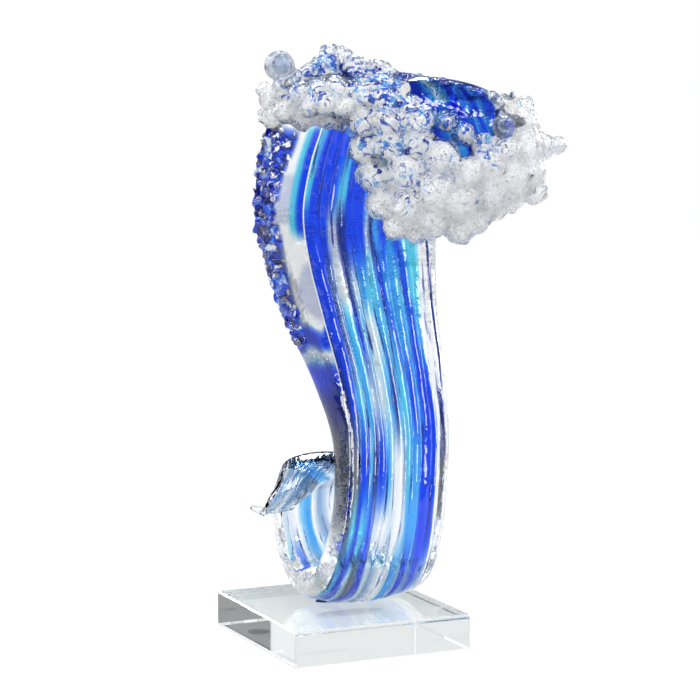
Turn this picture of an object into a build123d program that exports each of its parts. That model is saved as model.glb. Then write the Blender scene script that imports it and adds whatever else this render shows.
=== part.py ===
from build123d import *
import math
import os

os.makedirs("parts", exist_ok=True)

# A reeded glass wave on a clear plate. The origin is the centre of the plate's underside,
# +X runs along the plate's front edge, +Y goes to the back and +Z points up. Millimetres.

# Plate
plate_width = 100.0
plate_depth = 108.0
plate_thickness = 19.0
plate_chamfer = 0.8

# Clear adhesive between the plate and the ground flat under the wave
film_thickness = 0.3
film_length = 40.0
film_width = 13.0
film_inset = 2.0

# The wave's ribbon: how far its middle line reaches from the plate's centre
spine_drift = 25.0
spine_bow = 37.0
spine_rise = 273.0

# The ribbon's section
ribbon_width = 112.0
ribbon_thickness = 24.0
section_crown = 5.0
edge_bulge = 2.5
back_corner_share = 0.8
bulge_height_share = 0.25

# The reeds that are melted on along the front
reed_depth = 7.0
reed_crown_share = 0.2
seat_gap = 0.2
cane_radius = 1.3
cane_depth = 3.5

# The crest's foam of crushed glass
foam_span = 100.0
foam_depth = 50.0
foam_rise = 100.0
lump_radius = 16.0
foam_gap = 0.5

# Drops, points and bits
drop_radius = 8.0
chip_length = 7.0
chip_width = 4.0
chip_thickness = 1.6
bead_radius = 1.7
point_length = 9.0
point_root_radius = 5.5
point_neck_radius = 4.0
point_end_radius = 5.0
tip_length = 8.0
tip_root_radius = 2.6
tip_end_radius = 1.3
tip_lift_share = 0.35

ground_z = plate_thickness + film_thickness

# Crushed glass of the crest. Each lump's place is in shares of the crest's span, depth and rise from
# the top of the ribbon, and its radius is a share of a large lump's.
foam_left_shares = [
    (-0.52, 0.42, -0.10, 0.50),
    (-0.55, 0.42, 0.00, 0.42),
    (-0.46, 0.34, 0.03, 0.58),
    (-0.42, 0.52, -0.04, 0.52),
    (-0.38, 0.24, -0.06, 0.55),
    (-0.33, 0.38, 0.02, 0.55),
    (-0.29, 0.18, 0.05, 0.64),
    (-0.27, 0.16, 0.15, 0.52),
    (-0.22, 0.16, 0.19, 0.36),
    (-0.27, 0.16, 0.22, 0.36),
    (-0.22, 0.04, -0.07, 0.62),
    (-0.52, 0.12, -0.07, 0.45),
    (-0.43, 0.04, -0.08, 0.52),
    (-0.33, 0.00, -0.08, 0.54),
    (-0.26, -0.06, -0.10, 0.50),
    (-0.47, 0.04, 0.00, 0.41),
    (-0.38, 0.00, 0.00, 0.45),
    (-0.29, -0.02, 0.01, 0.45),
    (-0.20, 0.00, 0.01, 0.39),
]
foam_crown_shares = [
    (-0.14, 0.10, 0.12, 0.62),
    (-0.12, 0.38, 0.09, 0.52),
    (-0.02, 0.02, 0.10, 0.58),
    (0.03, 0.28, 0.07, 0.46),
    (0.04, -0.06, 0.08, 0.42),
    (-0.19, -0.16, 0.02, 0.55),
    (-0.08, -0.26, 0.03, 0.60),
    (0.00, -0.36, 0.00, 0.48),
]
foam_front_shares = [
    (-0.20, -0.32, -0.03, 0.55),
    (-0.11, -0.44, -0.03, 0.58),
    (0.01, -0.56, -0.06, 0.44),
    (0.07, -0.68, -0.09, 0.38),
]
foam_curtain_shares = [
    (-0.22, -0.46, -0.12, 0.58),
    (-0.11, -0.62, -0.12, 0.64),
    (0.00, -0.78, -0.12, 0.60),
    (-0.20, -0.44, -0.26, 0.60),
    (-0.10, -0.56, -0.24, 0.70),
    (0.02, -0.72, -0.23, 0.64),
    (-0.15, -0.46, -0.40, 0.61),
    (-0.12, -0.52, -0.54, 0.58),
    (-0.03, -0.68, -0.38, 0.76),
    (-0.03, -0.68, -0.55, 0.70),
    (-0.08, -0.64, -0.66, 0.45),
    (0.02, -0.68, -0.68, 0.45),
    (0.09, -0.84, -0.48, 0.76),
    (0.09, -0.78, -0.62, 0.64),
    (0.11, -0.88, -0.31, 0.63),
    (0.23, -0.84, -0.67, 0.54),
    (0.20, -0.92, -0.53, 0.70),
    (0.17, -0.76, -0.13, 0.38),
    (0.26, -0.84, -0.19, 0.41),
]
foam_joint_shares = [
    (0.31, -0.88, -0.62, 0.54),
    (0.24, -1.00, -0.39, 0.60),
    (0.38, -0.94, -0.48, 0.77),
    (0.34, -1.02, -0.34, 0.62),
    (0.35, -0.88, -0.25, 0.45),
]
foam_right_shares = [
    (0.49, -1.00, -0.43, 0.77),
    (0.42, -0.92, -0.57, 0.42),
    (0.51, -0.96, -0.52, 0.40),
    (0.58, -1.04, -0.39, 0.57),
    (0.63, -1.00, -0.49, 0.38),
    (0.57, -0.96, -0.26, 0.70),
    (0.67, -0.96, -0.26, 0.47),
    (0.45, -1.00, -0.28, 0.62),
    (0.54, -0.72, -0.12, 0.55),
    (0.61, -0.84, -0.14, 0.51),
    (0.55, -0.60, -0.06, 0.39),
    (0.61, -0.76, -0.08, 0.39),
    (0.62, -0.66, -0.28, 0.58),
]
# Drops: what each sits on, its place as above, and its radius as a share of the largest drop's
drop_shares = [
    ("crest_drop_left", "crest_foam_left", -0.51, 0.36, 0.16, 1.00),
    ("crest_drop_right", "crest_foam_right", 0.42, -1.08, -0.15, 0.75),
    ("crest_drop_middle", "crest_seat", 0.25, -0.34, 0.04, 0.75),
]
# Drawn points of the foam: root and direction in the same shares
point_shares = [
    ("crest_point_right", 0.68, -0.96, -0.25, 1.00, 0.00, 0.00),
    ("crest_point_low", 0.60, -1.00, -0.42, 0.20, 0.00, -1.00),
    ("crest_point_top", 0.60, -0.84, -0.13, 0.10, 0.00, 1.00),
]
# Cobalt chips and clear beads on the plain left edge, as shares along and round its face
chip_shares = [
    (0.60, 0.22), (0.64, 0.30), (0.68, 0.20), (0.71, 0.34), (0.74, 0.16), (0.78, 0.30),
    (0.81, 0.18), (0.84, 0.40), (0.87, 0.22), (0.90, 0.36), (0.93, 0.20), (0.96, 0.42),
]
bead_shares = [
    (0.58, 0.04), (0.62, 0.08), (0.65, 0.03), (0.69, 0.05), (0.72, 0.02), (0.75, 0.55),
    (0.76, 0.03), (0.79, 0.05), (0.82, 0.02), (0.85, 0.04), (0.88, 0.02), (0.92, 0.05),
]

# One row for each station along the ribbon, from the curl's thin end round the foot to the lip:
# drift, bow and rise of the middle line, width, thickness, plain left edge, plain right edge,
# crown of the front face, as shares of the sizes above, then turn and tilt of the section in degrees.
station_shares = [
    (-1.08, 0.19, 0.192, 0.30, 0.17, 0.06, 0.06, 0.30, 0, 6),
    (-0.76, 0.24, 0.222, 0.34, 0.24, 0.06, 0.06, 0.30, 0, 5),
    (-0.36, 0.40, 0.248, 0.38, 0.32, 0.06, 0.06, 0.30, 0, 3),
    (-0.05, 0.68, 0.258, 0.41, 0.38, 0.06, 0.06, 0.40, 0, 0),
    (0.04, 0.97, 0.215, 0.43, 0.46, 0.06, 0.06, 0.50, 0, 0),
    (0.08, 1.00, 0.142, 0.46, 0.58, 0.06, 0.06, 0.60, 0, 0),
    (0.22, 0.73, 0.073, 0.52, 0.75, 0.05, 0.06, 0.80, 0, 0),
    (0.40, 0.22, 0.037, 0.59, 0.88, 0.04, 0.06, 1.00, 0, 0),
    (0.58, -0.27, 0.058, 0.59, 0.96, 0.03, 0.06, 0.90, 0, 0),
    (0.68, -0.51, 0.123, 0.58, 1.00, 0.03, 0.06, 0.70, 0, 0),
    (0.82, -0.54, 0.215, 0.57, 1.00, 0.04, 0.07, 0.55, 0, 0),
    (0.96, -0.35, 0.332, 0.60, 1.00, 0.07, 0.07, 0.45, 0, 0),
    (0.82, -0.14, 0.442, 0.68, 1.00, 0.14, 0.07, 0.40, 0, 0),
    (0.56, 0.05, 0.552, 0.79, 1.00, 0.20, 0.07, 0.35, 0, 0),
    (0.38, 0.19, 0.662, 0.89, 1.00, 0.22, 0.07, 0.30, 0, 0),
    (0.30, 0.24, 0.764, 0.96, 0.96, 0.235, 0.07, 0.25, 0, 0),
    (0.38, 0.20, 0.863, 0.98, 0.88, 0.26, 0.07, 0.20, 0, 0),
    (0.54, 0.02, 0.940, 0.97, 0.74, 0.27, 0.07, 0.10, 3, -1),
    (0.76, -0.32, 0.985, 0.94, 0.58, 0.20, 0.07, 0.05, 8, -2),
    (1.06, -0.78, 0.978, 0.90, 0.48, 0.12, 0.07, 0.05, 13, -4),
    (1.34, -1.14, 0.925, 0.82, 0.42, 0.06, 0.07, 0.05, 16, -6),
    (1.50, -1.34, 0.850, 0.74, 0.36, 0.06, 0.07, 0.05, 18, -7),
]
tongue_stations = range(0, 4)
hook_stations = range(3, 8)
body_stations = range(7, 18)
lip_stations = range(17, 22)
cane_stations = range(10, 16)
crest_station = 18
foot_station = 7

# Each foam mass with its lumps and the flat faces where it meets the next mass: a point of the face
# in the crest's shares, and the side of it that the mass keeps
foam_masses = {
    "crest_foam_left": (
        foam_left_shares,
        [((-0.22, 0, 0), (-1, 0, 0)), ((0, -0.16, 0), (0, 1, 0))],
    ),
    "crest_foam_crown": (
        foam_crown_shares + foam_front_shares,
        [((-0.22, 0, 0), (1, 0, 0)), ((0, 0, -0.06), (0, 0, 1))],
    ),
    "crest_foam_curtain": (
        foam_front_shares + foam_curtain_shares + foam_joint_shares,
        [((0, -0.16, 0), (0, -1, 0)), ((0, 0, -0.06), (0, 0, -1)), ((0.34, 0, 0), (-1, 0, 0))],
    ),
    "crest_foam_right": (
        foam_joint_shares + foam_right_shares,
        [((0.34, 0, 0), (1, 0, 0))],
    ),
}

# Each reed's name, with its left and right limits as shares of the reeded front
reed_shares = [
    ("reed_01_cobalt", 0.00, 0.10),
    ("reed_02_navy", 0.10, 0.17),
    ("reed_03_azure", 0.17, 0.26),
    ("reed_04_clear", 0.26, 0.34),
    ("reed_05_azure", 0.34, 0.43),
    ("reed_06_clear", 0.43, 0.52),
    ("reed_07_azure", 0.52, 0.61),
    ("reed_08_turquoise", 0.61, 0.71),
    ("reed_09_cobalt", 0.71, 0.81),
    ("reed_10_azure", 0.81, 0.90),
    ("reed_11_clear", 0.90, 1.00),
]


def middle(index):
    """The ribbon's middle point at a station."""
    drift, bow, rise = station_shares[index][:3]
    return Vector(drift * spine_drift, bow * spine_bow, ground_z + rise * spine_rise)


def station_plane(index):
    """The plane of a section: its X runs across the ribbon and its Y points to the back."""
    turn, tilt = (math.radians(angle) for angle in station_shares[index][8:])
    across = Vector(math.cos(turn) * math.cos(tilt), -math.sin(turn) * math.cos(tilt), math.sin(tilt))
    along = middle(min(index + 1, len(station_shares) - 1)) - middle(max(index - 1, 0))
    along = along - across * along.dot(across)
    return Plane(origin=middle(index), x_dir=across, z_dir=along)


def section_sizes(index):
    """Half width, half thickness, both ends of the reeded front and its crown at a station."""
    width_share, thickness_share, left_share, right_share, crown_share = station_shares[index][3:8]
    width = width_share * ribbon_width
    half = width / 2
    left = -half + left_share * width
    right = half - right_share * width
    return half, thickness_share * ribbon_thickness / 2, left, right, crown_share * section_crown


def front_line(index, across):
    """Depth of the ribbon's front at a place across it, without the reeds' own rounding."""
    half, deep, left, right, crown = section_sizes(index)
    middle_share = (across - (left + right) / 2) / ((right - left) / 2)
    return -deep + crown * middle_share**2


def reed_floor(index):
    """Depth of the reeds at a station: it thins with the ribbon."""
    return reed_depth * section_sizes(index)[1] * 2 / ribbon_thickness


def core_outline(index):
    """Section of the clear gather behind the reeds, with their bed cut into its front."""
    half, deep, left, right, crown = section_sizes(index)
    edge = front_line(index, left)
    floor = reed_floor(index)
    corner = (-half + edge_bulge, deep * back_corner_share)
    with BuildSketch(station_plane(index)) as outline:
        with BuildLine():
            bed_left = (left, edge + floor)
            bed_right = (right, edge + floor)
            Line((left, edge), bed_left)
            ThreePointArc(bed_left, ((left + right) / 2, floor - deep), bed_right)
            Line(bed_right, (right, edge))
            ThreePointArc((right, edge), (half, 0), (right, deep))
            ThreePointArc((right, deep), (0, deep + crown / 2), corner)
            ThreePointArc(
                corner,
                ((left - half) / 2 - edge_bulge / 2, edge * bulge_height_share),
                (left, edge),
            )
        make_face()
    return outline.sketch


def full_outline(index, growth=0.0):
    """Section of the whole ribbon, as it is where no reeds are let in, or grown for a seat."""
    half, deep, left, right, crown = section_sizes(index)
    edge = front_line(index, left) - growth
    half = half + growth
    deep = deep + growth
    corner = (-half + edge_bulge, deep * back_corner_share)
    with BuildSketch(station_plane(index)) as outline:
        with BuildLine():
            ThreePointArc((left, edge), ((left + right) / 2, -deep), (right, edge))
            ThreePointArc((right, edge), (half, 0), (right, deep))
            ThreePointArc((right, deep), (0, deep + crown / 2), corner)
            ThreePointArc(
                corner,
                ((left - half) / 2 - edge_bulge / 2, edge * bulge_height_share),
                (left, edge),
            )
        make_face()
    return outline.sketch


def reed_outline(index, start_share, end_share):
    """Section of one reed: straight where it meets its bed and neighbours, round in front."""
    half, deep, left, right, crown = section_sizes(index)
    start = left + start_share * (right - left) + seat_gap
    end = left + end_share * (right - left) - seat_gap
    floor = reed_floor(index) - seat_gap
    start_front = front_line(index, start)
    end_front = front_line(index, end)
    crest = ((start + end) / 2, (start_front + end_front) / 2 - reed_crown_share * (end - start))
    with BuildSketch(station_plane(index)) as outline:
        with BuildLine():
            Line((start, start_front), (start, start_front + floor))
            Line((start, start_front + floor), (end, end_front + floor))
            Line((end, end_front + floor), (end, end_front))
            ThreePointArc((end, end_front), crest, (start, start_front))
        make_face()
    return outline.sketch


def cane_outline(index):
    """Section of the thin cane that runs inside the clear right edge."""
    half, deep = section_sizes(index)[:2]
    with BuildSketch(station_plane(index)) as outline:
        with Locations((half - cane_depth, deep / 2)):
            Circle(cane_radius)
    return outline.sketch


def write(part, name):
    """Label a finished piece and write its file."""
    part.label = name
    export_step(part, f"parts/{name}.step")


# Plate with polished bevels
with BuildPart() as base_plate:
    with BuildSketch():
        Rectangle(plate_width, plate_depth)
    extrude(amount=plate_thickness)
    chamfer(base_plate.edges(), plate_chamfer)
write(base_plate.part, "base_plate")

# Film of clear adhesive under the ground flat
foot = middle(foot_station)
with BuildPart() as bond_film:
    with BuildSketch(Plane.XY.offset(plate_thickness)):
        with Locations((foot.X - film_inset, foot.Y - film_inset)):
            Ellipse(film_length / 2, film_width / 2)
    extrude(amount=film_thickness)
write(bond_film.part, "bond_film")

# Hook of the curl: it rises behind the foot
with BuildPart() as foot_curl:
    loft([full_outline(number) for number in hook_stations])
    split(bisect_by=Plane.XY.offset(ground_z), keep=Keep.TOP)
write(foot_curl.part, "foot_curl")

# Tongue: the curl's thin end, folded forward
with BuildPart() as curl_tongue:
    loft([full_outline(number) for number in tongue_stations])
write(curl_tongue.part, "curl_tongue")

# Thin cobalt cane inside the right edge
with BuildPart() as edge_cane:
    loft([cane_outline(number) for number in cane_stations])
write(edge_cane.part, "edge_cane")

# Clear gather behind the reeds
with BuildPart() as wave_core:
    loft([core_outline(number) for number in body_stations])
    split(bisect_by=Plane.XY.offset(ground_z), keep=Keep.TOP)
    add(edge_cane.part, mode=Mode.SUBTRACT)
write(wave_core.part, "wave_core")

# Coloured reeds side by side in their bed
reeds = {}
for reed_name, start_share, end_share in reed_shares:
    with BuildPart() as reed:
        loft([reed_outline(number, start_share, end_share) for number in body_stations])
        split(bisect_by=Plane.XY.offset(ground_z), keep=Keep.TOP)
    reeds[reed_name] = reed.part
    write(reed.part, reed_name)

# Lip: the ribbon's thin top, curled over to the front
with BuildPart() as crest_lip:
    loft([full_outline(number) for number in lip_stations])
write(crest_lip.part, "crest_lip")

# The ribbon, grown by the gap that foam keeps from it, shapes the foam's seat
with BuildPart() as crest_seat:
    loft([full_outline(number, foam_gap) for number in body_stations])
    loft([full_outline(number, foam_gap) for number in lip_stations])


def crest_place(x_share, y_share, z_share):
    """A point of the crest, measured from the top of the ribbon."""
    offset = Vector(x_share * foam_span, y_share * foam_depth, z_share * foam_rise)
    return middle(crest_station) + offset


def heaviest(part):
    """The largest solid of a part: crumbs that a seat cut off are left out."""
    return Part() + part.solids().sort_by(SortBy.VOLUME)[-1]


def foam(lump_shares, limits):
    """A mass of crushed glass: lumps melted together, cut flat beside its neighbours and seated."""
    with BuildPart() as mass:
        for x_share, y_share, z_share, radius_share in lump_shares:
            with Locations(crest_place(x_share, y_share, z_share)):
                Sphere(radius_share * lump_radius)
        for place, aim in limits:
            split(bisect_by=Plane(origin=crest_place(*place), z_dir=Vector(*aim)), keep=Keep.TOP)
        add(crest_seat.part, mode=Mode.SUBTRACT)
    return heaviest(mass.part)


seats = {"crest_seat": crest_seat.part}
for foam_name, (lump_shares, limits) in foam_masses.items():
    seats[foam_name] = foam(lump_shares, limits)
    write(seats[foam_name], foam_name)

# Clear drops on the foam and the lip
for drop_name, seat_name, x_share, y_share, z_share, radius_share in drop_shares:
    with BuildPart() as drop:
        with Locations(crest_place(x_share, y_share, z_share)):
            Sphere(radius_share * drop_radius)
        add(seats[seat_name], mode=Mode.SUBTRACT)
    write(heaviest(drop.part), drop_name)

# Points drawn out of the foam, each a cone with a round end
for point_name, x_share, y_share, z_share, x_aim, y_aim, z_aim in point_shares:
    root = Plane(origin=crest_place(x_share, y_share, z_share), z_dir=Vector(x_aim, y_aim, z_aim))
    with BuildPart() as point:
        with BuildSketch(root):
            Circle(point_root_radius)
        with BuildSketch(root.offset(point_length)):
            Circle(point_neck_radius)
        loft()
        with Locations(root.offset(point_length).origin):
            Sphere(point_end_radius)
        add(seats["crest_foam_right"], mode=Mode.SUBTRACT)
    write(heaviest(point.part), point_name)

# Tip of the curl's tongue, drawn out to the left
tongue_end = middle(0) - station_plane(0).x_dir * (section_sizes(0)[0] - tip_root_radius)
with BuildPart() as curl_tip:
    root = Plane(origin=tongue_end, z_dir=Vector(-1, 0, tip_lift_share))
    with BuildSketch(root):
        Circle(tip_root_radius)
    with BuildSketch(root.offset(tip_length)):
        Circle(tip_end_radius)
    loft()
    add(curl_tongue.part, mode=Mode.SUBTRACT)
write(heaviest(curl_tip.part), "curl_tip")

# Cobalt chips and clear beads, seated on the plain face along the ribbon's left edge
edge_faces = wave_core.part.faces().filter_by(lambda face: face.area > chip_length**2)
left_face = edge_faces.sort_by(Axis.X)[0]
with BuildPart() as edge_chips:
    with Locations([left_face.location_at(around, rise) for rise, around in chip_shares]):
        Box(chip_length, chip_width, chip_thickness)
    add(wave_core.part, mode=Mode.SUBTRACT)
write(edge_chips.part, "edge_chips")

with BuildPart() as edge_beads:
    with Locations([left_face.position_at(around, rise) for rise, around in bead_shares]):
        Sphere(bead_radius)
    add(wave_core.part, mode=Mode.SUBTRACT)
    add(edge_chips.part, mode=Mode.SUBTRACT)
write(edge_beads.part, "edge_beads")
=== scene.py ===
import math

import bmesh
import bpy
import numpy as np
from bpy.props import FloatProperty, FloatVectorProperty, IntProperty, PointerProperty
from mathutils import Matrix, Vector, noise


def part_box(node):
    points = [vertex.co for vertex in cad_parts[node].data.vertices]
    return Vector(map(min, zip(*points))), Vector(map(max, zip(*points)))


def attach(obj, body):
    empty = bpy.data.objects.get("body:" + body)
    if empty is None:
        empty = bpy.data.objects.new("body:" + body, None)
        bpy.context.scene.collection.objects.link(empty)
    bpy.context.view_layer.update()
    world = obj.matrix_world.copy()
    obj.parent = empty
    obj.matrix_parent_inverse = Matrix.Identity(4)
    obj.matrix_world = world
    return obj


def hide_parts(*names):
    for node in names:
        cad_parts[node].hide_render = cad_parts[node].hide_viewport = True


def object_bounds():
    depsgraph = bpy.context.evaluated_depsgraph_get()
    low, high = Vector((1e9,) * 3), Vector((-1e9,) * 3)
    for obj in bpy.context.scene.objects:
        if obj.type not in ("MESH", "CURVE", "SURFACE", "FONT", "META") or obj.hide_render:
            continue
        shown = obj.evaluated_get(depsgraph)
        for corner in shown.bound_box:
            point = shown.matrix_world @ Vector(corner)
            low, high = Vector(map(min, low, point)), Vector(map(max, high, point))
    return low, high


bl_info = {
    "name": "Glass Wave Sculpture",
    "version": (1, 0, 0),
    "blender": (4, 5, 0),
    "location": "3D View > Sidebar > Glass Wave",
    "description": "Builds the reeded glass wave, its crushed crest and its clear plate",
    "category": "Add Mesh",
}

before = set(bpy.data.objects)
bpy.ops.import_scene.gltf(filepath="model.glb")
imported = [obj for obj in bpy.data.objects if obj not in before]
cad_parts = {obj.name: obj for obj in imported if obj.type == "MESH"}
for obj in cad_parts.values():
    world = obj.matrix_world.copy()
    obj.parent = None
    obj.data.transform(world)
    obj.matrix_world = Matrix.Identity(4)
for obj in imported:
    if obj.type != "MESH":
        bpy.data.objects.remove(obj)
cad_low, cad_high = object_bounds()
MM = 0.001
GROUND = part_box("bond_film")[1].z

# One row for each station along the ribbon, from the curl's thin end round the foot to the lip: drift,
# bow and rise of its middle line, width, thickness, plain left edge, plain right edge and crown of the
# front face as shares, then turn and tilt of the section in degrees.
STATION_SHARES = np.array([
    (-1.08, 0.19, 0.192, 0.30, 0.17, 0.06, 0.06, 0.30, 0, 6),
    (-0.76, 0.24, 0.222, 0.34, 0.24, 0.06, 0.06, 0.30, 0, 5),
    (-0.36, 0.40, 0.248, 0.38, 0.32, 0.06, 0.06, 0.30, 0, 3),
    (-0.05, 0.68, 0.258, 0.41, 0.38, 0.06, 0.06, 0.40, 0, 0),
    (0.04, 0.97, 0.215, 0.43, 0.46, 0.06, 0.06, 0.50, 0, 0),
    (0.08, 1.00, 0.142, 0.46, 0.58, 0.06, 0.06, 0.60, 0, 0),
    (0.22, 0.73, 0.073, 0.52, 0.75, 0.05, 0.06, 0.80, 0, 0),
    (0.40, 0.22, 0.037, 0.59, 0.88, 0.04, 0.06, 1.00, 0, 0),
    (0.58, -0.27, 0.058, 0.59, 0.96, 0.03, 0.06, 0.90, 0, 0),
    (0.68, -0.51, 0.123, 0.58, 1.00, 0.03, 0.06, 0.70, 0, 0),
    (0.82, -0.54, 0.215, 0.57, 1.00, 0.04, 0.07, 0.55, 0, 0),
    (0.96, -0.35, 0.332, 0.60, 1.00, 0.07, 0.07, 0.45, 0, 0),
    (0.82, -0.14, 0.442, 0.68, 1.00, 0.14, 0.07, 0.40, 0, 0),
    (0.56, 0.05, 0.552, 0.79, 1.00, 0.20, 0.07, 0.35, 0, 0),
    (0.38, 0.19, 0.662, 0.89, 1.00, 0.22, 0.07, 0.30, 0, 0),
    (0.30, 0.24, 0.764, 0.96, 0.96, 0.235, 0.07, 0.25, 0, 0),
    (0.38, 0.20, 0.863, 0.98, 0.88, 0.26, 0.07, 0.20, 0, 0),
    (0.54, 0.02, 0.940, 0.97, 0.74, 0.27, 0.07, 0.10, 3, -1),
    (0.76, -0.32, 0.985, 0.94, 0.58, 0.20, 0.07, 0.05, 8, -2),
    (1.06, -0.78, 0.978, 0.90, 0.48, 0.12, 0.07, 0.05, 13, -4),
    (1.34, -1.14, 0.925, 0.82, 0.42, 0.06, 0.07, 0.05, 16, -6),
    (1.50, -1.34, 0.850, 0.74, 0.36, 0.06, 0.07, 0.05, 18, -7),
])
LAST_STATION = len(STATION_SHARES) - 1

# Limits of the reeds across the front, as shares of its width
REED_LIMIT_SHARES = (0.00, 0.10, 0.17, 0.26, 0.34, 0.43, 0.52, 0.61, 0.71, 0.81, 0.90, 1.00)
REED_COUNT = len(REED_LIMIT_SHARES) - 1

# Colours of the melted canes across the front, from left to right. Each row is a station up the ribbon and
# its colours, each with the hundredth of the front's width where it is purest.
STRIPES = (
    (0.0, "0 clear, 20 mist, 40 clear, 60 steel, 80 mist, 100 clear"),
    (2.4, "0 clear, 12 steel, 20 clear, 30 steel, 38 mist, 46 steel, 52 mist, 62 steel, 72 clear, "
          "80 steel, 90 mist, 100 clear"),
    (5.0, "0 clear, 15 mist, 30 clear, 45 azure, 53 clear, 65 steel, 80 clear, 100 clear"),
    (7.2, "0 clear, 8 cobalt, 15 turquoise, 24 cobalt, 31 mist, 40 steel, 50 clear, 60 azure, 70 smoke, "
          "80 turquoise, 92 clear, 100 clear"),
    (8.3, "0 turquoise, 7 cobalt, 12 mist, 19 smoke, 24 cobalt, 30 mist, 37 steel, 44 clear, 50 mist, "
          "57 azure, 65 steel, 70 cobalt, 78 steel, 86 cobalt, 95 mist, 100 clear"),
    (9.5, "0 smoke, 6 turquoise, 10.5 cobalt, 14 turquoise, 19 azure, 22.5 cobalt, 27 mist, 36 clear, "
          "44 mist, 50 clear, 57 mist, 64 azure, 76 azure, 82 cobalt, 95 cobalt, 98.5 clear"),
    (10.5, "0 smoke, 8 smoke, 12 cobalt, 17 cobalt, 21 turquoise, 25 navy, 30 cobalt, 38 azure, 43 mist, "
           "52 clear, 57 steel, 62 turquoise, 68 azure, 76 azure, 82 cobalt, 95 cobalt, 98.5 clear"),
    (11.6, "0 navy, 6 cobalt, 10 azure, 15 turquoise, 22 azure, 27 mist, 33 steel, 38 mist, 45 azure, "
           "49 navy, 52 azure, 60 turquoise, 66 azure, 72 cobalt, 77 azure, 84 cobalt, 95 cobalt, "
           "98.5 clear"),
    (12.8, "0 cobalt, 7 cobalt, 13 navy, 17 azure, 24 turquoise, 28 cobalt, 33 azure, 38 mist, 43 mist, "
           "47 azure, 52 turquoise, 58 azure, 63 cobalt, 68 azure, 78 azure, 85 cobalt, 93 azure, 98 clear"),
    (13.5, "0 cobalt, 8 cobalt, 13 navy, 18 mist, 24 clear, 30 navy, 34 mist, 40 azure, 46 turquoise, "
           "52 azure, 57 cobalt, 62 azure, 70 azure, 76 turquoise, 82 cobalt, 87 turquoise, 94 turquoise, "
           "100 clear"),
    (14.6, "0 cobalt, 12 cobalt, 17 lilac, 22 lilac, 27 navy, 33 cobalt, 44 cobalt, 48 mist, 52 navy, "
           "58 azure, 64 cobalt, 70 azure, 78 cobalt, 84 turquoise, 95 turquoise, 100 clear"),
    (15.4, "0 turquoise, 5 cobalt, 17 cobalt, 23 azure, 28 turquoise, 32 cobalt, 42 cobalt, 50 turquoise, "
           "60 azure, 70 turquoise, 80 cobalt, 90 turquoise, 100 clear"),
    (16.6, "0 turquoise, 5 cobalt, 20 cobalt, 30 azure, 37 cobalt, 50 azure, 62 cobalt, 75 azure, "
           "88 cobalt, 100 azure"),
    (18.2, "0 clear, 30 mist, 50 clear, 70 mist, 85 clear, 100 clear"),
)

# Colours over the lip's outer side, each with the hundredth of the width where it is purest
LIP_STRIPE = ("0 clear, 15 azure, 30 mist, 42 azure, 48 cobalt, 54 azure, 59 mist, 65 azure, 70 cobalt, "
              "76 azure, 81 cobalt, 86 azure, 91 cobalt, 96 mist, 100 clear")

# Colours of the plain left edge, each with the station where it is purest
EDGE_STRIPE = ("7 clear, 9 clear, 9.9 smoke, 10.9 smoke, 11.4 navy, 12.1 cobalt, 12.35 mist, 12.5 clear, "
               "12.62 cobalt, 12.8 cobalt, 12.95 clear, 21 clear")


def amount(name, description, default, **kind):
    """A setting that is a plain number unless its kind says otherwise."""
    return FloatProperty(name=name, description=description, default=default, **kind)


def length(name, description, default):
    """A setting in metres."""
    return amount(name, description, default, unit="LENGTH")


def bearing(name, description, default):
    """A setting in radians."""
    return amount(name, description, default, subtype="ANGLE")


def glass(name, description, default):
    """A colour of glass."""
    return FloatVectorProperty(name=name, description=description, default=default, subtype="COLOR",
                               min=0, max=1)


class StageSettings(bpy.types.PropertyGroup):
    """Camera, floor and light."""
    azimuth: bearing("Camera azimuth", "Turn of the camera round the object", math.radians(-24.72))
    elevation: bearing("Camera elevation", "Height of the camera as an angle", math.radians(6.28))
    distance: length("Camera distance", "From the camera to its target", 1.16746)
    lens: amount("Lens", "Focal length in millimetres", 113.14)
    target: FloatVectorProperty(name="Target", description="What the camera points at",
                                default=(0.00536, 0.0, 0.15478), subtype="TRANSLATION")
    floor_size: length("Floor size", "Side of the pale floor", 6.0)
    lamp_power: amount("Lamp power", "Power of the soft lamp overhead in watts", 6.0)


class RibbonSettings(bpy.types.PropertyGroup):
    """Sizes and colours of the wave's ribbon."""
    drift: length("Drift", "Reach of the middle line to the side", 25 * MM)
    bow: length("Bow", "Reach of the middle line to the back", 37 * MM)
    rise: length("Rise", "Height of the middle line", 273 * MM)
    width: length("Width", "Widest section", 112 * MM)
    thickness: length("Thickness", "Thickest section", 24 * MM)
    crown: length("Crown", "Fall of the front face at its sides", 5 * MM)
    bulge: length("Edge bulge", "Roundness of the plain left edge", 2.5 * MM)
    reed_crown: amount("Reed crown", "Height of a reed as a share of its width", 0.2)
    cobalt: glass("Cobalt", "Deep blue glass", (0.0002, 0.004, 0.68))
    navy: glass("Navy", "Near black blue glass", (0.0004, 0.0012, 0.05))
    azure: glass("Azure", "Light blue glass", (0.003, 0.125, 0.79))
    turquoise: glass("Turquoise", "Green blue glass", (0.009, 0.34, 0.66))
    steel: glass("Steel", "Greyed blue glass", (0.065, 0.16, 0.40))
    mist: glass("Mist", "Pale blue glass", (0.36, 0.53, 0.69))
    smoke: glass("Smoke", "Dark clear glass", (0.03, 0.035, 0.05))
    clear: glass("Clear", "Clear glass", (0.88, 0.905, 0.92))
    # Painted glint: a warm colour that stands in for amber glints low in the foot
    amber_glint: glass("Amber", "Warm touches in the foot", (0.62, 0.50, 0.20))
    lilac: glass("Lilac", "Grey lilac haze in the left edge", (0.24, 0.28, 0.50))


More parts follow.
